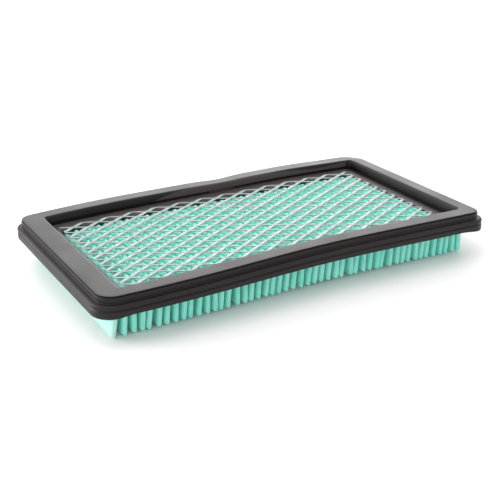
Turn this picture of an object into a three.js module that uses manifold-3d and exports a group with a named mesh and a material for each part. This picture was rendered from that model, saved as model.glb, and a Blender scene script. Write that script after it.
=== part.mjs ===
// Flat panel air-filter element for a small engine: a moulded rubber seal frame, a pleated
// paper pack hanging below it, and an expanded-metal screen in the recess on top.
// Millimetres, +Z up. Origin: centre of the pack's underside. X runs along the length.
import * as THREE from 'three';
import { mergeVertices } from 'three/addons/utils/BufferGeometryUtils.js';
import Module from 'manifold-3d';

const wasm = await Module();
wasm.setup();

// ---- driving dimensions ----
const HEIGHT = 14.1;              // pack underside to the frame's top face
const GAP = 0.25;                 // bond line between neighbouring pieces

// seal frame
const RIM_LENGTH = 129.5;         // raised rim, outside
const RIM_WIDTH = 72.5;
const RIM_RADIUS = 4.5;           // rim's outer corners
const RIM_FACE_LEFT = 6.8;        // width of the top face on the left short side
const RIM_FACE_RIGHT = 4.6;       // on the right short side
const RIM_FACE_SIDE = 5.2;        // and on the long sides
const RIM_STEP = 0.5;             // the rim's top edge drops this far before it rounds out
const RIM_ROUND = 0.3;            // radius of that rounding, and how far it stands out
const FLANGE_REACH = 1.75;        // flange stands out this far from the rim
const FLANGE_TOP = HEIGHT - 2.3;
const FLANGE_UNDERSIDE = HEIGHT - 5.45;
const RIB_ROUND = 0.75;           // rounding of the two ribs on the flange's edge
const RIB_GROOVE = 0.4;           // depth of the groove between them
const OPENING_RADIUS = 1;         // corners of the recess
const LEDGE_TOP = HEIGHT - 3.2;   // shelf inside the rim that holds the screen and the pack
const LEDGE_UNDERSIDE = LEDGE_TOP - 1.1;
const APERTURE_LENGTH = 106;      // hole that the shelf leaves over the pack
const APERTURE_WIDTH = 49.4;
const UNDERCUT = 0.45;            // the rim's inner wall steps back above the shelf
const UNDERCUT_TOP = LEDGE_TOP + 0.8;

// pleated pack
const PACK_LENGTH = 120.5;
const PACK_WIDTH = 65.8;
const PLEATS = 49;
const PLEAT_WIDTH = 1.45;         // outside width of one closed fold
const PAPER = 0.45;
const PLEAT_TOP = LEDGE_TOP - 0.1;

// glue that closes the pleat ends: a bead along each long side with a finger in every fold
const GLUE_FINGER = 0.25;         // thickness of one finger
const GLUE_DEPTH = 2.4;           // how far the bead reaches in from the pack's side
const GLUE_BEAD = 0.6;            // height of the bead above the folds

// expanded-metal screen
const SCREEN_LENGTH = 109.6;
const SCREEN_WIDTH = 52.4;
const SCREEN_THICKNESS = 0.55;
const MESH_LONG = 8.5;            // diamond pitch along X
const MESH_SHORT = 5;             // and along Y
const STRAND = 1.25;              // strand width in the sheet's plane

// ---- helpers ----
const CORNER_STEPS = 5;

// A rounded rectangle as a ring of points at height z, anticlockwise seen from above.
function ring(halfX, halfY, radius, z, centreX = 0) {
  const points = [];
  const centres = [[1, 1], [-1, 1], [-1, -1], [1, -1]];
  centres.forEach(([sx, sy], quarter) => {
    for (let step = 0; step <= CORNER_STEPS; step += 1) {
      const angle = (quarter + step / CORNER_STEPS) * Math.PI / 2;
      points.push(new THREE.Vector3(
        centreX + sx * (halfX - radius) + radius * Math.cos(angle),
        sy * (halfY - radius) + radius * Math.sin(angle),
        z,
      ));
    }
  });
  return points;
}

// Joins rings into one closed body: up the outside, in over the top, down the inside and back.
function loftRings(rings) {
  const count = rings[0].length;
  const positions = rings.flat().flatMap((point) => point.toArray());
  const indices = [];
  rings.forEach((_, row) => {
    const next = (row + 1) % rings.length;
    for (let i = 0; i < count; i += 1) {
      const j = (i + 1) % count;
      const [a, b, c, d] = [row * count + i, row * count + j, next * count + j, next * count + i];
      indices.push(a, b, c, a, c, d);
    }
  });
  const geometry = new THREE.BufferGeometry();
  geometry.setAttribute('position', new THREE.Float32BufferAttribute(positions, 3));
  geometry.setIndex(indices);
  geometry.computeVertexNormals();
  return geometry;
}

function toManifold(geometry) {
  const bare = geometry.clone();
  bare.deleteAttribute('normal');
  bare.deleteAttribute('uv');
  const merged = mergeVertices(bare, 1e-4);
  return new wasm.Manifold(new wasm.Mesh({
    numProp: 3,
    vertProperties: new Float32Array(merged.attributes.position.array),
    triVerts: new Uint32Array(merged.index.array),
  }));
}

function toGeometry(manifold) {
  const mesh = manifold.getMesh();
  const geometry = new THREE.BufferGeometry();
  geometry.setAttribute('position', new THREE.Float32BufferAttribute(mesh.vertProperties, 3));
  geometry.setIndex(Array.from(mesh.triVerts));
  geometry.computeVertexNormals();
  return geometry;
}

function block(sizeX, sizeY, sizeZ, x, y, z) {
  return new THREE.BoxGeometry(sizeX, sizeY, sizeZ).translate(x, y, z);
}

function named(name, geometry, material) {
  const mesh = new THREE.Mesh(geometry, material);
  mesh.name = name;
  return mesh;
}

// ---- materials ----
const rubber = new THREE.MeshStandardMaterial({ color: 0x3b3838, roughness: 0.5, metalness: 0 });
const paper = new THREE.MeshStandardMaterial({ color: 0x7ad9c0, roughness: 0.9, metalness: 0 });
const zincedSteel = new THREE.MeshStandardMaterial({ color: 0xc8cecc, roughness: 0.4, metalness: 0.9 });
const hotMelt = new THREE.MeshStandardMaterial({ color: 0xdfe8d6, roughness: 0.6, metalness: 0 });

// ---- seal frame: one moulding swept round the pack ----
const openingX = (RIM_LENGTH - RIM_FACE_LEFT - RIM_FACE_RIGHT) / 2;
const openingY = RIM_WIDTH / 2 - RIM_FACE_SIDE;
const openingCentre = (RIM_FACE_LEFT - RIM_FACE_RIGHT) / 2;
const apertureX = APERTURE_LENGTH / 2;
const apertureY = APERTURE_WIDTH / 2;

function sealFrame() {
  const outer = (reach, z) => ring(
    RIM_LENGTH / 2 + reach, RIM_WIDTH / 2 + reach, RIM_RADIUS + reach, z);
  const inner = (back, z) => ring(
    openingX + back, openingY + back, OPENING_RADIUS + Math.max(back, 0), z, openingCentre);
  const pocket = (z) => ring(
    PACK_LENGTH / 2 + GAP, PACK_WIDTH / 2 + GAP, GAP, z);
  const aperture = (z) => ring(apertureX, apertureY, OPENING_RADIUS, z);

  const ribMiddle = (FLANGE_TOP + FLANGE_UNDERSIDE) / 2;
  const reach = FLANGE_REACH;
  const small = RIB_ROUND * (1 - Math.SQRT1_2);
  const bulge = RIM_ROUND * Math.SQRT1_2;
  const bulgeTop = HEIGHT - RIM_STEP;
  const slope = 0.2;                     // the recess narrows this much above the undercut
  return loftRings([
    pocket(FLANGE_UNDERSIDE),
    // flange's edge: a lower rib, a groove and an upper rib
    outer(reach - RIB_ROUND, FLANGE_UNDERSIDE),
    outer(reach - small, FLANGE_UNDERSIDE + small),
    outer(reach, FLANGE_UNDERSIDE + RIB_ROUND),
    outer(reach, ribMiddle - RIB_GROOVE),
    outer(reach - RIB_GROOVE, ribMiddle),
    outer(reach, ribMiddle + RIB_GROOVE),
    outer(reach, FLANGE_TOP - RIB_ROUND),
    outer(reach - small, FLANGE_TOP - small),
    outer(reach - RIB_ROUND, FLANGE_TOP),
    // raised rim
    outer(0, FLANGE_TOP),
    outer(0, bulgeTop - 2 * RIM_ROUND),
    outer(bulge, bulgeTop - RIM_ROUND - bulge),
    outer(RIM_ROUND, bulgeTop - RIM_ROUND),
    outer(bulge, bulgeTop - RIM_ROUND + bulge),
    outer(0, bulgeTop),
    outer(0, HEIGHT),
    // recess: wall, undercut and shelf
    inner(0, HEIGHT),
    inner(-slope, UNDERCUT_TOP + slope),
    inner(UNDERCUT, UNDERCUT_TOP - slope),
    inner(UNDERCUT, LEDGE_TOP),
    aperture(LEDGE_TOP),
    aperture(LEDGE_UNDERSIDE),
    pocket(LEDGE_UNDERSIDE),
  ]);
}

// ---- pleated pack: one folded sheet ----
const pleatPitch = (PACK_LENGTH - PLEAT_WIDTH) / (PLEATS - 1);
const pleatX = (i) => -PACK_LENGTH / 2 + PLEAT_WIDTH / 2 + i * pleatPitch;
const underShelf = LEDGE_UNDERSIDE - GAP;
const underBead = underShelf - GLUE_BEAD;

// Height of the crest between fold i and fold i + 1. Crests under the shelf are pressed down.
function crest(i) {
  const furthest = Math.max(Math.abs(pleatX(i)), Math.abs(pleatX(i + 1))) + PLEAT_WIDTH / 2;
  return furthest > apertureX - GAP ? underShelf : PLEAT_TOP;
}

function pleatedMedia() {
  const half = PLEAT_WIDTH / 2;
  const last = PLEATS - 1;
  const section = new THREE.Shape();
  section.moveTo(pleatX(0) - half, underShelf);
  for (let i = 0; i <= last; i += 1) {
    section.lineTo(pleatX(i) - half, 0);
    section.lineTo(pleatX(i) + half, 0);
    if (i < last) {
      section.lineTo(pleatX(i) + half, crest(i) - PAPER);
      section.lineTo(pleatX(i + 1) - half, crest(i) - PAPER);
    }
  }
  section.lineTo(pleatX(last) + half, underShelf);
  for (let i = last; i >= 0; i -= 1) {
    const right = i < last ? crest(i) : underShelf;
    const left = i > 0 ? crest(i - 1) : underShelf;
    section.lineTo(pleatX(i) + half - PAPER, right);
    section.lineTo(pleatX(i) + half - PAPER, PAPER);
    section.lineTo(pleatX(i) - half + PAPER, PAPER);
    section.lineTo(pleatX(i) - half + PAPER, left);
  }
  section.closePath();
  const sheet = new THREE.ExtrudeGeometry(section, { depth: PACK_WIDTH, bevelEnabled: false });
  sheet.rotateX(Math.PI / 2).translate(0, PACK_WIDTH / 2, 0);

  // Along the two long sides the crests are cut down for the shelf, and lower for the glue.
  let folded = toManifold(sheet);
  const cuts = [
    { inside: apertureY - GAP, floor: underShelf },
    { inside: PACK_WIDTH / 2 - GLUE_DEPTH - GAP, floor: underBead - GAP },
  ];
  for (const { inside, floor } of cuts) {
    const width = PACK_WIDTH / 2 - inside + 1;
    const height = HEIGHT - floor;
    for (const side of [-1, 1]) {
      folded = folded.subtract(toManifold(block(
        PACK_LENGTH + 2, width, height, 0, side * (inside + width / 2), floor + height / 2)));
    }
  }
  return toGeometry(folded);
}

// ---- glue: a comb-shaped bead inside one long side, front (-1) or rear (1) ----
function pleatGlue(side) {
  const halfFinger = GLUE_FINGER / 2;
  const tip = PAPER + GAP;
  const end = PACK_LENGTH / 2 - GAP;
  const comb = new THREE.Shape();
  comb.moveTo(-end, underShelf);
  comb.lineTo(-end, underBead);
  for (let i = 0; i < PLEATS; i += 1) {
    comb.lineTo(pleatX(i) - halfFinger, underBead);
    comb.lineTo(pleatX(i) - halfFinger, tip);
    comb.lineTo(pleatX(i) + halfFinger, tip);
    comb.lineTo(pleatX(i) + halfFinger, underBead);
  }
  comb.lineTo(end, underBead);
  comb.lineTo(end, underShelf);
  comb.closePath();
  const outerFace = side > 0 ? PACK_WIDTH / 2 : GLUE_DEPTH - PACK_WIDTH / 2;
  return new THREE.ExtrudeGeometry(comb, { depth: GLUE_DEPTH, bevelEnabled: false })
    .rotateX(Math.PI / 2)
    .translate(0, outerFace, 0);
}

// ---- expanded-metal screen: a sheet with staggered diamond openings ----
function screen() {
  const sheet = toManifold(block(SCREEN_LENGTH, SCREEN_WIDTH, SCREEN_THICKNESS, 0, 0, 0));
  const strandPitch = MESH_LONG * MESH_SHORT / Math.hypot(MESH_LONG, MESH_SHORT);
  const open = 1 - STRAND / strandPitch;
  const diamond = new THREE.CylinderGeometry(1, 1, SCREEN_THICKNESS * 2, 4)
    .rotateX(Math.PI / 2)
    .scale(open * MESH_LONG / 2, open * MESH_SHORT / 2, 1);
  const opening = toManifold(diamond);
  const columns = Math.ceil(SCREEN_LENGTH / MESH_LONG) + 1;
  const rows = Math.ceil(SCREEN_WIDTH / MESH_SHORT) + 1;
  const openings = [];
  for (let column = -columns; column <= columns; column += 1) {
    for (let row = -rows; row <= rows; row += 1) {
      if ((column + row) % 2 === 0) {
        const x = column * MESH_LONG / 2;
        const y = row * MESH_SHORT / 2;
        if (Math.abs(x) < (SCREEN_LENGTH + MESH_LONG) / 2
            && Math.abs(y) < (SCREEN_WIDTH + MESH_SHORT) / 2) {
          openings.push(opening.translate([x, y, 0]));
        }
      }
    }
  }
  // The cut edges leave a few loose scraps at the corners: only the sheet itself is kept.
  const pieces = sheet.subtract(wasm.Manifold.union(openings)).decompose();
  return toGeometry(pieces.reduce((kept, piece) => (piece.volume() > kept.volume() ? piece : kept)));
}

// ---- assembly ----
const element = new THREE.Group();
element.add(named('seal_frame', sealFrame(), rubber));
element.add(named('pleated_media', pleatedMedia(), paper));
element.add(named('front_pleat_glue', pleatGlue(-1), hotMelt));
element.add(named('rear_pleat_glue', pleatGlue(1), hotMelt));
const meshScreen = named('metal_screen', screen(), zincedSteel);
meshScreen.position.z = LEDGE_TOP + GAP + SCREEN_THICKNESS / 2;
element.add(meshScreen);

export default element;
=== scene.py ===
"""Panel air filter element: moulded rubber seal frame, folded paper pack and expanded-metal screen.

Everything is in metres in the CAD model's own frame: x along the element, y along the pleats,
z up, with the element standing on z = 0.
"""

import math
import random

import bpy
import bmesh
import numpy as np
from mathutils import Matrix, Vector


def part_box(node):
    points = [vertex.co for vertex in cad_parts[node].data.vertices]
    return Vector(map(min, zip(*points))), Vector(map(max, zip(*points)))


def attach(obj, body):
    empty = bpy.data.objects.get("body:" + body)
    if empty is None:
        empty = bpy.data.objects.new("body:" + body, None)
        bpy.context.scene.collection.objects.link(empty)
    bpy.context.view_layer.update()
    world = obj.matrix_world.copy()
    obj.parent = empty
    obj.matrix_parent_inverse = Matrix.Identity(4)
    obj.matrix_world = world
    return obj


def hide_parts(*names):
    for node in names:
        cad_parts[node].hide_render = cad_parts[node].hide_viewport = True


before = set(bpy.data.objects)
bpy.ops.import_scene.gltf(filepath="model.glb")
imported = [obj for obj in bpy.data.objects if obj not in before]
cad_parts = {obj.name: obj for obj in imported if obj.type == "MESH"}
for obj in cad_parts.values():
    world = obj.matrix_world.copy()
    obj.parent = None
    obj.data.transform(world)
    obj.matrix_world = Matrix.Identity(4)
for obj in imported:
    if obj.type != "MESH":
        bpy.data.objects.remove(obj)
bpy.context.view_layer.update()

MM = 0.001

# ---- sizes taken from the CAD model ----
flange_low, flange_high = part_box("seal_frame")
pack_low, pack_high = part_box("pleated_media")
screen_low, screen_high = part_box("metal_screen")

TOP = flange_high.z                       # the frame's top face
UNDERSIDE = flange_low.z                  # the flange's underside
FLANGE_REACH = 1.75 * MM                  # the flange stands out this far from the rim
RIM_X = flange_high.x - FLANGE_REACH      # half-length and half-width of the raised rim
RIM_Y = flange_high.y - FLANGE_REACH
PACK_X = pack_high.x
PACK_Y = pack_high.y

# ---- seal frame ----
# corners of the rim: rear right, rear left, front left, front right
RIM_RADII = (6.5 * MM, 3.5 * MM, 5.0 * MM, 3.0 * MM)
FACE_LEFT = 6.8 * MM                      # width of the top face on each side
FACE_RIGHT = 4.6 * MM
FACE_SIDE = 5.2 * MM
OPENING_RADIUS = 1.0 * MM
LEDGE_DEPTH = 3.2 * MM                    # shelf under the screen, below the top face
LEDGE_THICKNESS = 1.1 * MM
APERTURE_X = 55.0 * MM                    # half-length and half-width of the hole in the shelf
APERTURE_Y = 24.7 * MM
POCKET_GAP = 0.05 * MM                    # between the rubber and the sides of the pack
POCKET_RADIUS = 0.3 * MM
RIB_TOP = 3.8 * MM                        # the flange's lower rib starts this far below the top face
RIB_BLEND = 1.8 * MM
RIB_EXTRA = 0.6 * MM                      # and is this much thicker on the two short sides
RIB_EXTRA_X = 56 * MM                     # beyond this distance from the middle
RIB_EXTRA_BLEND = 8 * MM

# ---- how the moulding has set ----
# Weights in millimetres of three waves along the length: one arch, three arches, one full wave.
BOW = (0.99, -0.05, 0.105)                # upwards
PINCH = (-0.27, 0.52, 0.41)               # long sides drawn in
PINCH_Y = 35 * MM                         # the pinch is whole from here out
REAR_EDGE_Y = 29 * MM                     # the rear edge begins here
REAR_EDGE_BLEND = 5 * MM
KINK_X = 6.0 * MM                         # the rear edge is pressed in a little here
KINK_WIDTH = 6 * MM
KINK_DEPTH = 1.2 * MM
REAR_DROP_X = 30 * MM                     # right of this the rear edge sits lower
REAR_DROP_BLEND = 25 * MM
REAR_DROP = 0.3 * MM

# ---- pleats ----
PLEATS = 49
LOBE = 1.62 * MM                          # outside width of one fold
PAPER = 0.45 * MM

# ---- screen ----
MESH_LONG = 8.5 * MM                      # diamond pitch along x
MESH_SHORT = 5.0 * MM                     # and along y
STRAND_WIDTHS = (0.65 * MM, 1.25 * MM)    # strands that fall and climb towards +x
STRAND_THICKNESS = 0.2 * MM
STRAND_TILT = math.radians(4)             # strands lean about the x axis


# ---------------------------------------------------------------- helpers

def smoothstep(t):
    """Goes smoothly from 0 to 1 as t does."""
    t = np.clip(t, 0, 1)
    return t * t * (3 - 2 * t)


def waves(turn, weights):
    """One arch, three arches and one full wave along the length, added up by their weights."""
    arch, three_arches, full_wave = weights
    return arch * np.cos(turn) + three_arches * np.cos(3 * turn) + full_wave * np.sin(2 * turn)


def settle(points):
    """Bends straight parts the way the moulding has set: bowed up, sides wavy, rear edge dented."""
    out = np.array(points, float)
    along = out[:, 0] / (2 * RIM_X)
    side = np.clip(out[:, 1] / PINCH_Y, -1, 1)
    turn = math.pi * along
    out[:, 2] += waves(turn, BOW) * MM
    out[:, 1] -= side * waves(turn, PINCH) * MM
    rear = smoothstep((out[:, 1] - REAR_EDGE_Y) / REAR_EDGE_BLEND)
    out[:, 1] -= KINK_DEPTH * rear * np.exp(-((out[:, 0] - KINK_X) / KINK_WIDTH) ** 2)
    out[:, 2] -= REAR_DROP * rear * smoothstep((out[:, 0] - REAR_DROP_X) / REAR_DROP_BLEND)
    return out


def loft(rows, closed=False):
    """Quads over a grid of points: rows[k][j], joined round j and along k, and back to the first k
    when closed is set."""
    count = len(rows[0])
    total = len(rows)
    faces = []
    for k in range(total if closed else total - 1):
        here = k * count
        there = (k + 1) % total * count
        for j in range(count):
            nxt = (j + 1) % count
            faces.append((here + j, here + nxt, there + nxt, there + j))
    return faces


def add_bar(points, faces, rows):
    """Adds a bar with flat ends to a mesh's points and faces, lofted through rows of points."""
    base = len(points)
    count = len(rows[0])
    points.extend(tuple(point) for row in rows for point in row)
    faces.extend(tuple(base + i for i in face) for face in loft(rows))
    for start in (base, base + (len(rows) - 1) * count):
        faces.append(tuple(range(start, start + count)))


def make_piece(name, points, faces, material, node, sharp=40):
    """A mesh piece that stands for one CAD node, with its faces pointing out."""
    mesh = bpy.data.meshes.new(name)
    mesh.from_pydata(settle(points).tolist(), [], faces)
    bm = bmesh.new()
    bm.from_mesh(mesh)
    bmesh.ops.recalc_face_normals(bm, faces=bm.faces)
    bm.to_mesh(mesh)
    bm.free()
    mesh.shade_smooth()
    mesh.set_sharp_from_angle(angle=math.radians(sharp))
    mesh.materials.append(material)
    piece = bpy.data.objects.new(name, mesh)
    bpy.context.scene.collection.objects.link(piece)
    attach(piece, "root")
    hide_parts(node)


# ---------------------------------------------------------------- materials

class Nodes:
    """A short way to write a material's node tree."""

    def __init__(self, name):
        self.material = bpy.data.materials.new(name)
        self.material.use_nodes = True
        self.tree = self.material.node_tree
        self.shader = self.tree.nodes["Principled BSDF"]
        self.place = self.add("ShaderNodeTexCoord").outputs["Object"]

    def add(self, kind, **values):
        node = self.tree.nodes.new(kind)
        for key, value in values.items():
            if key in node.inputs:
                node.inputs[key].default_value = value
            else:
                setattr(node, key, value)
        return node

    def link(self, source, target):
        self.tree.links.new(source, target)

    def noise(self, scale, detail=3, stretch=(1, 1, 1)):
        mapping = self.add("ShaderNodeMapping", Scale=stretch)
        self.link(self.place, mapping.inputs["Vector"])
        texture = self.add("ShaderNodeTexNoise", Scale=scale, Detail=detail)
        self.link(mapping.outputs["Vector"], texture.inputs["Vector"])
        return texture.outputs["Fac"]

    def ramp(self, value, stops):
        """Turns a number into a colour; stops are (position, colour)."""
        ramp = self.add("ShaderNodeValToRGB")
        elements = ramp.color_ramp.elements
        while len(elements) < len(stops):
            elements.new(0.5)
        for element, (position, colour) in zip(elements, stops):
            element.position = position
            element.color = (*colour, 1)
        self.link(value, ramp.inputs["Fac"])
        return ramp.outputs["Color"]

    def span(self, value, low, high):
        """Maps noise (0.3 to 0.7) to the range low to high."""
        node = self.add("ShaderNodeMapRange")
        for key, number in (("From Min", 0.3), ("From Max", 0.7), ("To Min", low), ("To Max", high)):
            node.inputs[key].default_value = number
        self.link(value, node.inputs["Value"])
        return node.outputs["Result"]

    def beyond(self, axis, low, high):
        """Goes from 0 to 1 as the distance from the middle along an axis goes from low to high."""
        split = self.add("ShaderNodeSeparateXYZ")
        self.link(self.place, split.inputs["Vector"])
        distance = self.add("ShaderNodeMath", operation="ABSOLUTE")
        self.link(split.outputs[axis], distance.inputs[0])
        node = self.add("ShaderNodeMapRange")
        for key, number in (("From Min", low), ("From Max", high), ("To Min", 0.0), ("To Max", 1.0)):
            node.inputs[key].default_value = number
        self.link(distance.outputs["Value"], node.inputs["Value"])
        return node.outputs["Result"]

    def product(self, first, second):
        node = self.add("ShaderNodeMath", operation="MULTIPLY")
        self.link(first, node.inputs[0])
        self.link(second, node.inputs[1])
        return node.outputs["Value"]

    def mix(self, share, first, second):
        """Mixes two colours; second is a constant."""
        node = self.add("ShaderNodeMix", data_type="RGBA")
        # a Mix node keeps its colour sockets after its number and vector ones
        factor, first_colour, second_colour = node.inputs[0], node.inputs[6], node.inputs[7]
        self.link(share, factor)
        self.link(first, first_colour)
        second_colour.default_value = (*second, 1)
        return node.outputs[2]

    def bump(self, height, strength, distance, under=None):
        node = self.add("ShaderNodeBump", Strength=strength, Distance=distance)
        self.link(height, node.inputs["Height"])
        if under is not None:
            self.link(under, node.inputs["Normal"])
        return node.outputs["Normal"]

    def set(self, **values):
        for key, value in values.items():
            socket = self.shader.inputs[key.replace("_", " ")]
            if isinstance(value, bpy.types.NodeSocket):
                self.link(value, socket)
            else:
                socket.default_value = value


def rubber_material():
    m = Nodes("seal_rubber")
    mottle = m.noise(60, 4)
    dust = m.noise(900, 2)
    black = m.ramp(mottle, [(0.3, (0.011, 0.009, 0.009)), (0.7, (0.018, 0.015, 0.015))])
    # painted light: the rubber inside the recess gets a greyer base colour that stands in for the
    # light its walls and shelf catch
    opening_x = RIM_X - FACE_LEFT
    opening_y = RIM_Y - FACE_SIDE
    fade = 0.1 * MM
    painted_recess_light = m.product(m.beyond("X", opening_x + fade, opening_x),
                       m.beyond("Y", opening_y + fade, opening_y))
    m.set(
        # painted light: greyer base colour on the recess walls and shelf
        Base_Color=m.mix(painted_recess_light, black, (0.070, 0.056, 0.058)),
        Roughness=m.span(mottle, 0.36, 0.46),
        Specular_IOR_Level=0.24,
        Normal=m.bump(m.noise(3500, 2), 0.12, 0.02 * MM,
                      m.bump(dust, 0.1, 0.06 * MM, m.bump(m.noise(170, 2), 0.4, 0.12 * MM))),
    )
    return m.material


def paper_material():
    m = Nodes("filter_paper")
    fibres = m.noise(2600, 4, stretch=(1, 0.3, 1))
    cloudy = m.noise(170, 3)
    teal = m.ramp(cloudy, [(0.3, (0.25, 0.83, 0.69)), (0.7, (0.34, 0.89, 0.77))])
    # painted light: the sheet's outer legs are given a paler colour that stands in for the light
    # falling on the end faces
    painted_end_light = m.beyond("X", PACK_X - 0.45 * MM, PACK_X - 0.2 * MM)
    m.set(
        # painted light: paler colour on the end legs
        Base_Color=m.mix(painted_end_light, teal, (0.50, 0.86, 0.76)),
        Roughness=m.span(fibres, 0.6, 0.8),
        Subsurface_Weight=0.25,
        Subsurface_Radius=(0.4, 1.0, 0.8),
        Subsurface_Scale=0.8 * MM,
        Normal=m.bump(fibres, 0.35, 0.05 * MM),
    )
    return m.material


def metal_material():
    m = Nodes("zinced_steel")
    grain = m.noise(1500, 3)
    cloudy = m.noise(220, 3)
    # painted reflection: the steel's colour is tinted mint, standing in for the green paper the
    # strands reflect
    m.set(
        Base_Color=m.ramp(cloudy, [(0.3, (0.20, 0.27, 0.255)), (0.7, (0.29, 0.33, 0.32))]),
        Metallic=1.0,
        Roughness=m.span(grain, 0.34, 0.5),
        Normal=m.bump(grain, 0.25, 0.03 * MM),
    )
    return m.material


def glue_material():
    m = Nodes("hot_melt")
    cloudy = m.noise(400, 3)
    m.set(
        Base_Color=m.ramp(cloudy, [(0.3, (0.42, 0.70, 0.58)), (0.7, (0.56, 0.80, 0.68))]),
        Roughness=m.span(cloudy, 0.35, 0.5),
        Subsurface_Weight=0.3,
        Subsurface_Scale=1.0 * MM,
        Normal=m.bump(cloudy, 0.2, 0.2 * MM),
    )
    return m.material


def floor_material():
    m = Nodes("studio_floor")
    m.set(Base_Color=(0.94, 0.93, 0.93, 1), Roughness=0.6, Specular_IOR_Level=0.2)
    return m.material


# ---------------------------------------------------------------- seal frame

CORNER_STEPS = 14
LONG_STEPS = 110                          # points along the long sides, so that they can bend
SHORT_STEPS = 48


def ring(half_x, half_y, radii, z, centre_x=0.0):
    """A rounded rectangle at height z, with the same number of points whatever its size.

    radii is one radius, or four, anticlockwise from the corner at +x +y.
    """
    if not isinstance(radii, tuple):
        radii = (radii,) * 4
    corners = ((1, 1), (-1, 1), (-1, -1), (1, -1))
    arcs = []
    for quarter, ((sx, sy), radius) in enumerate(zip(corners, radii)):
        arc = []
        for step in range(CORNER_STEPS + 1):
            angle = (quarter + step / CORNER_STEPS) * math.pi / 2
            arc.append((
                centre_x + sx * (half_x - radius) + radius * math.cos(angle),
                sy * (half_y - radius) + radius * math.sin(angle),
            ))
        arcs.append(arc)
    points = []
    for quarter, arc in enumerate(arcs):
        steps = LONG_STEPS if quarter % 2 == 0 else SHORT_STEPS
        end = arc[-1]
        start = arcs[(quarter + 1) % 4][0]
        points.extend(arc)
        for step in range(1, steps):
            t = step / steps
            points.append((end[0] + (start[0] - end[0]) * t, end[1] + (start[1] - end[1]) * t))
    return [(x, y, z) for x, y in points]


def rounded(corners, steps=5):
    """A polyline whose corners (a, b, radius) are replaced by arcs."""
    path = []
    for k, (a, b, radius) in enumerate(corners):
        here = Vector((a, b))
        if radius == 0 or k in (0, len(corners) - 1):
            path.append(here)
            continue
        back = (Vector(corners[k - 1][:2]) - here).normalized()
        ahead = (Vector(corners[k + 1][:2]) - here).normalized()
        half = back.angle(ahead) / 2
        reach = radius / math.tan(half)
        centre = here + (back + ahead).normalized() * radius / math.sin(half)
        first = here + back * reach - centre
        last = here + ahead * reach - centre
        sweep = first.angle_signed(last)
        for step in range(steps + 1):
            path.append(centre + Matrix.Rotation(-sweep * step / steps, 2) @ first)
    return path


def seal_frame():
    opening_x = RIM_X - (FACE_LEFT + FACE_RIGHT) / 2
    opening_y = RIM_Y - FACE_SIDE
    opening_centre = (FACE_LEFT - FACE_RIGHT) / 2
    shelf = LEDGE_DEPTH / MM
    shelf_under = shelf + LEDGE_THICKNESS / MM

    # Sections as (distance out, height above the top face, corner radius), in millimetres.
    edge = rounded([
        (-1.0, -5.6, 0), (1.75, -5.6, 0.3), (1.75, -4.2, 0.25), (1.3, -3.84, 0.12),
        (1.75, -3.45, 0.3), (1.75, -2.3, 0.7), (0.1, -2.3, 0.25), (0.28, -0.62, 0.25),
        (-0.35, -0.38, 0.05), (0.0, -0.14, 0.05), (0.0, 0.0, 0.1), (-1.0, 0.0, 0),
    ])
    wall = rounded([
        (1.0, 0.0, 0), (0.0, 0.0, 0.7), (-0.4, -2.3, 0.12), (0.6, -2.45, 0.1),
        (0.6, -shelf, 0.1), (-1.0, -shelf, 0),
    ])
    lip = rounded([
        (1.0, -shelf, 0), (0.0, -shelf, 0.35), (0.0, -shelf_under, 0.1), (1.0, -shelf_under, 0),
    ])
    pocket_x, pocket_y = PACK_X + POCKET_GAP, PACK_Y + POCKET_GAP
    rings = [ring(pocket_x, pocket_y, POCKET_RADIUS, UNDERSIDE)]
    for out, up in edge:
        radii = tuple(radius + out * MM for radius in RIM_RADII)
        rings.append(ring(RIM_X + out * MM, RIM_Y + out * MM, radii, TOP + up * MM))
    for out, up in wall:
        radius = OPENING_RADIUS + max(out, 0) * MM
        rings.append(ring(
            opening_x + out * MM, opening_y + out * MM, radius, TOP + up * MM, opening_centre))
    for out, up in lip:
        radius = OPENING_RADIUS + out * MM
        rings.append(ring(APERTURE_X + out * MM, APERTURE_Y + out * MM, radius, TOP + up * MM))
    rings.append(ring(pocket_x, pocket_y, POCKET_RADIUS, TOP - shelf_under * MM))
    points = np.array(rings).reshape(-1, 3)
    # the flange's lower rib is thicker on the two short sides
    from_middle = np.abs(points)
    low_down = smoothstep((TOP - RIB_TOP - points[:, 2]) / RIB_BLEND)
    outside = np.maximum(from_middle[:, 0] - PACK_X, from_middle[:, 1] - PACK_Y) > -0.1 * MM
    at_ends = smoothstep((from_middle[:, 0] - RIB_EXTRA_X) / RIB_EXTRA_BLEND)
    points[:, 2] -= RIB_EXTRA * low_down * outside * at_ends
    make_piece("seal_frame_moulding", points, loft(rings, closed=True), rubber_material(),
               "seal_frame", sharp=50)


# ---------------------------------------------------------------- pleated pack

LEG_STEPS = 5
ARC_STEPS = 8
CREST_LOW = 9.45 * MM                     # crests pressed under the shelf
CREST_SIDE = 8.7 * MM                     # and under the glue
CREST_TOP = pack_high.z
NECK_DROP = 1.2 * MM                      # a crest starts to bend over this far below its top
NOSE = 0.9 * MM                           # the pleat ends round off over this length
CLOSING = 3.0 * MM                        # and are pressed shut over this one

# Each fold differs by chance, within these ranges in millimetres.
OFFSETS = (-0.32, 0.32)                   # place along x
LEANS = (-1.7, -0.3)                      # foot to crest, along x
WANDERS = (0.05, 0.3)                     # sideways wave along the fold
WAVELENGTHS = (30, 60)
DROPS = (0, 0.25)                         # foot above the table
END_SPREAD = 0.6 * MM                     # the left end leg stands out this far at the foot
END_LEAN = -2.0 * MM


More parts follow.
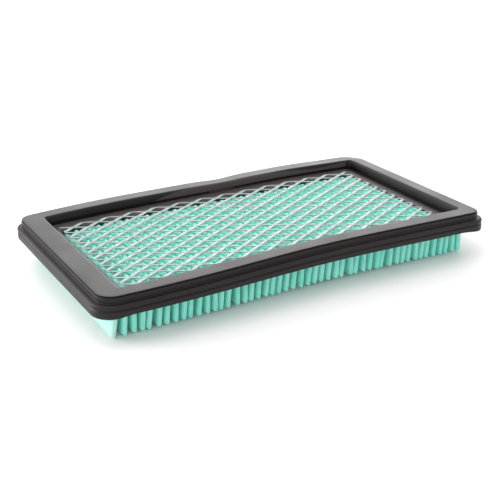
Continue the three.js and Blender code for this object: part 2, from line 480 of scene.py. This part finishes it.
class Fold:
    """One fold of the pack: where it stands, how it leans and how it wanders along y."""

    def __init__(self, index, rng):
        pitch = (2 * PACK_X - LOBE) / (PLEATS - 1)
        free = 0 if index in (0, PLEATS - 1) else 1
        self.x = -PACK_X + LOBE / 2 + index * pitch + free * rng.uniform(*OFFSETS) * MM
        self.lean = free * rng.uniform(*LEANS) * MM
        self.wander = free * rng.uniform(*WANDERS) * MM
        self.phase = rng.uniform(0, 2 * math.pi)
        self.length = rng.uniform(*WAVELENGTHS) * MM
        self.drop = rng.uniform(*DROPS) * MM
        if index == 0:
            self.x -= END_SPREAD
            self.lean = END_LEAN

    def centre(self, y, z):
        """The fold's middle along x at one point of its length and height."""
        sway = self.wander * math.sin(2 * math.pi * y / self.length + self.phase)
        return self.x + sway * (1 - 0.6 * z / CREST_TOP) + self.lean * (0.5 - z / CREST_TOP)


def pleat_section(folds, y):
    """The sheet's lower and upper outlines at one place across the width."""
    from_end = PACK_Y - abs(y)
    nose = np.clip(1 - from_end / NOSE, 0, 1)
    half = LOBE / 2 * math.sqrt(1 - 0.8 * nose * nose)
    closing = 1 - smoothstep(from_end / CLOSING)
    thickness = PAPER + (half - 0.01 * MM - PAPER) * closing
    leg = half - thickness / 2
    side_drop = smoothstep((abs(y) - APERTURE_Y + 0.7 * MM) / (0.6 * MM))
    glue_drop = smoothstep((abs(y) - PACK_Y + 3.6 * MM) / (1.0 * MM))
    lower, upper = [], []

    def add(x, z, nx, nz):
        """Adds a point of the sheet's middle line; (nx, nz) points to the sheet's lower face."""
        lower.append((x + nx * thickness / 2, y, z + nz * thickness / 2))
        upper.append((x - nx * thickness / 2, y, z - nz * thickness / 2))

    for k, fold in enumerate(folds):
        foot = fold.drop * 0.6 + thickness / 2 + 0.25 * MM * nose
        knee = foot + leg
        crest = CREST_TOP if abs(fold.x) < APERTURE_X - 1.3 * MM else CREST_LOW
        crest += (CREST_LOW - crest) * side_drop
        crest += (CREST_SIDE - CREST_LOW) * glue_drop
        neck = crest - NECK_DROP
        for step in range(LEG_STEPS):
            z = neck + (knee - neck) * step / LEG_STEPS
            add(fold.centre(y, z) - leg, z, -1, 0)
        for step in range(ARC_STEPS + 1):
            angle = math.pi * (1 + step / ARC_STEPS)
            add(fold.centre(y, knee) + leg * math.cos(angle), knee + leg * math.sin(angle),
                math.cos(angle), math.sin(angle))
        for step in range(1, LEG_STEPS + 1):
            z = knee + (neck - knee) * step / LEG_STEPS
            add(fold.centre(y, z) + leg, z, 1, 0)
        if k < PLEATS - 1:
            following = folds[k + 1]
            left = fold.centre(y, neck) + leg
            right = following.centre(y, neck) - leg
            middle, reach = (left + right) / 2, (right - left) / 2
            rise = crest - thickness / 2 - neck
            for step in range(1, ARC_STEPS):
                angle = math.pi * (1 - step / ARC_STEPS)
                nx, nz = Vector((math.cos(angle) * rise, math.sin(angle) * reach)).normalized()
                add(middle + reach * math.cos(angle), neck + rise * math.sin(angle), -nx, -nz)
    return lower, upper


def pleated_pack(folds):
    # sections stand closer together where the pleat ends are pressed shut
    ends = [PACK_Y - d * MM for d in (0, 0.08, 0.25, 0.5, 0.9, 1.6, 2.3, 3.0, 4.0)]
    even_y = PACK_Y - 5.2 * MM
    middle = np.linspace(-even_y, even_y, 36)
    stations = sorted([-y for y in ends] + list(middle) + ends)
    rows = []
    for y in stations:
        lower, upper = pleat_section(folds, y)
        rows.append(lower + upper[::-1])
    faces = loft(rows)
    count = len(rows[0])
    half = count // 2
    # each cut face is closed by quads between the sheet's two outlines
    for start in (0, (len(rows) - 1) * count):
        for j in range(half - 1):
            faces.append((start + j, start + j + 1, start + count - 2 - j, start + count - 1 - j))
    make_piece("folded_paper_pack", np.array(rows).reshape(-1, 3), faces, paper_material(),
               "pleated_media", sharp=60)


# ---------------------------------------------------------------- glue in the pleat ends

def pleat_glue(folds, side, node, name, material):
    """A line of glue inside each fold near one long side, joined by a bead over the folds."""
    y_out = side * (PACK_Y - 3.1 * MM)
    y_in = side * (PACK_Y - 5.0 * MM)
    bead_low, bead_high = CREST_SIDE + 0.35 * MM, CREST_SIDE + 0.85 * MM
    half = 0.2 * MM                       # half the thickness of the glue in a fold
    points, faces = [], []
    for fold in folds:
        rows = []
        for z in np.linspace(PAPER + 0.5 * MM, bead_low + 0.1 * MM, 8):
            x = fold.centre(y_out, z)
            rows.append([(x - half, y_in, z), (x + half, y_in, z),
                         (x + half, y_out, z), (x - half, y_out, z)])
        add_bar(points, faces, rows)
    rows = []
    for x in np.linspace(-PACK_X + PAPER, PACK_X - PAPER, 160):
        swell = 0.08 * MM * math.sin(x / (1.7 * MM))
        rows.append([(x, y_in, bead_low), (x, y_in, bead_high + swell),
                     (x, y_out, bead_high + swell), (x, y_out, bead_low)])
    add_bar(points, faces, rows)
    make_piece(name, np.array(points), faces, material, node)


# ---------------------------------------------------------------- expanded-metal screen

def strand_profile(width):
    """A rectangle with cut corners round the strand's centre line: (across, through) pairs."""
    w, t = width / 2, STRAND_THICKNESS / 2
    cut = 0.06 * MM
    return [(w, -t + cut), (w, t - cut), (w - cut, t), (cut - w, t),
            (-w, t - cut), (-w, cut - t), (cut - w, -t), (w - cut, -t)]


def screen():
    """Zigzag strips side by side, joined at their peaks, as slit and stretched sheet is."""
    falling, rising = STRAND_WIDTHS
    half_x = screen_high.x
    strips = round((screen_high.y - screen_low.y) / (MESH_SHORT / 2))
    level = (screen_low.z + screen_high.z) / 2
    lean = Vector((0, math.cos(STRAND_TILT), math.sin(STRAND_TILT)))
    bond = 0.14                           # share of half a pitch that a joint between strips takes
    xs = np.arange(-half_x, half_x, MESH_LONG / 16)
    xs = np.append(xs, half_x)
    points, faces = [], []
    for k in range(strips):
        low = -strips * MESH_SHORT / 4 + k * MESH_SHORT / 2
        path, widths = [], []
        for x in xs:
            phase = (x / MESH_LONG + k / 2) % 1
            climb = 1 - abs(2 * phase - 1)
            u = np.clip((climb - bond) / (1 - 2 * bond), 0, 1)
            u = 0.6 * u + 0.4 * smoothstep(u)
            climbing = smoothstep((0.25 - abs(phase - 0.25)) / 0.12)
            widths.append(falling + (rising - falling) * climbing)
            shift = 0.5 * falling * (1 - 2 * u)
            path.append(Vector((x, low + u * MESH_SHORT / 2, level)) + lean * shift)
        rows = []
        for j, here in enumerate(path):
            ahead = path[min(j + 1, len(path) - 1)]
            behind = path[max(j - 1, 0)]
            tangent = (ahead - behind).normalized()
            across = (lean - tangent * lean.dot(tangent)).normalized()
            through = tangent.cross(across)
            rows.append([here + across * a + through * b for a, b in strand_profile(widths[j])])
        add_bar(points, faces, rows)
    make_piece("expanded_metal_screen", np.array(points), faces, metal_material(),
               "metal_screen", sharp=50)


# ---------------------------------------------------------------- stage

def floor():
    size = 3.0
    mesh = bpy.data.meshes.new("studio_floor")
    mesh.from_pydata([(-size, -size, 0), (size, -size, 0), (size, size, 0), (-size, size, 0)],
                     [], [(0, 1, 2, 3)])
    mesh.materials.append(floor_material())
    plane = bpy.data.objects.new("studio_floor", mesh)
    bpy.context.scene.collection.objects.link(plane)


def area_light(name, position, target, size, power):
    data = bpy.data.lights.new(name, "AREA")
    data.shape = "DISK"
    data.size = size
    data.energy = power
    light = bpy.data.objects.new(name, data)
    light.location = position
    light.rotation_euler = (Vector(target) - Vector(position)).to_track_quat("-Z", "Y").to_euler()
    bpy.context.scene.collection.objects.link(light)


def lights():
    world = bpy.data.worlds.new("studio")
    world.use_nodes = True
    background = world.node_tree.nodes["Background"].inputs
    background["Color"].default_value = (1, 1, 1, 1)
    background["Strength"].default_value = 1.05
    bpy.context.scene.world = world
    area_light("overhead", (-0.32, 0.25, 0.9), (0, 0, 0), 0.9, 2.2)
    area_light("backdrop", (0.45, 0.82, 0.38), (0, 0, 0), 0.8, 4.2)
    area_light("left_card", (-0.72, 0.6, 0.3), (0, 0, 0.01), 0.6, 5.0)


def camera():
    """Looks down on the element from the front left."""
    azimuth, elevation, roll = (math.radians(a) for a in (-28.69, 22.43, -0.96))
    back = Vector((
        math.sin(azimuth) * math.cos(elevation),
        -math.cos(azimuth) * math.cos(elevation),
        math.sin(elevation),
    ))
    right = Vector((0, 0, 1)).cross(back).normalized()
    up = back.cross(right)
    turned_right = math.cos(roll) * right + math.sin(roll) * up
    turned_up = math.cos(roll) * up - math.sin(roll) * right
    # in rim lengths
    distance, shift_right, shift_up = 2.540, -0.0004, 0.0116
    place = (back * distance + turned_right * shift_right + turned_up * shift_up) * (2 * RIM_X)
    data = bpy.data.cameras.new("camera")
    data.sensor_width = 36
    data.lens = 72.51
    data.clip_start = 0.01
    view = bpy.data.objects.new("camera", data)
    view.matrix_world = Matrix((
        (turned_right.x, turned_up.x, back.x, place.x),
        (turned_right.y, turned_up.y, back.y, place.y),
        (turned_right.z, turned_up.z, back.z, place.z),
        (0, 0, 0, 1),
    ))
    bpy.context.scene.collection.objects.link(view)
    bpy.context.scene.camera = view


# ---------------------------------------------------------------- build

camera()
lights()
floor()
bpy.context.scene.view_settings.view_transform = "Standard"

rng = random.Random(7)
folds = [Fold(index, rng) for index in range(PLEATS)]
glue = glue_material()

seal_frame()
pleated_pack(folds)
pleat_glue(folds, -1, "front_pleat_glue", "front_glue_line", glue)
pleat_glue(folds, 1, "rear_pleat_glue", "rear_glue_line", glue)
screen()
